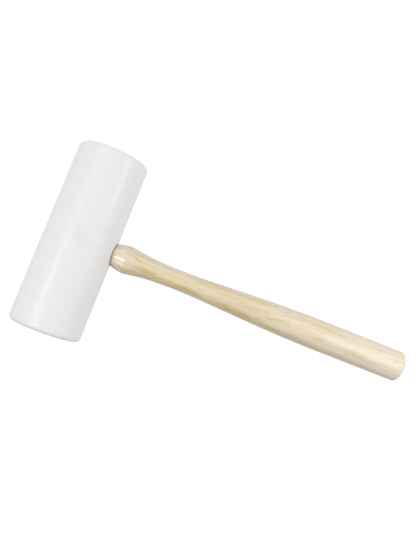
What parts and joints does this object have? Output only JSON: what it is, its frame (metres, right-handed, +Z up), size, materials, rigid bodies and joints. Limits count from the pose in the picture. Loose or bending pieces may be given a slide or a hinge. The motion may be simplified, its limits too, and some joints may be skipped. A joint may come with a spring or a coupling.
{
  "type": "rubber mallet",
  "caption": "Long white cylindrical mallet head on a turned wooden handle, for tapping paving, stone and formwork without leaving marks.",
  "frame": {"origin": "on the surface that the mallet lies on, under the middle of its overall length; the head's axis runs over x = -0.1583", "axes": "+X towards the butt of the handle, Y along the head's axis from one striking face to the other, +Z up from the surface. The handle slopes down by 3.15 degrees towards +X, because head and butt both touch the surface"},
  "size_m": [0.3866, 0.182, 0.07],
  "materials": {
    "white_rubber": "satin",
    "pale_ash": "gloss",
    "hardwood": "matte"
  },
  "bodies": {
    "root": {"head": "white_rubber", "handle": "pale_ash", "fox_wedge": "hardwood"}
  },
  "joints": []
}
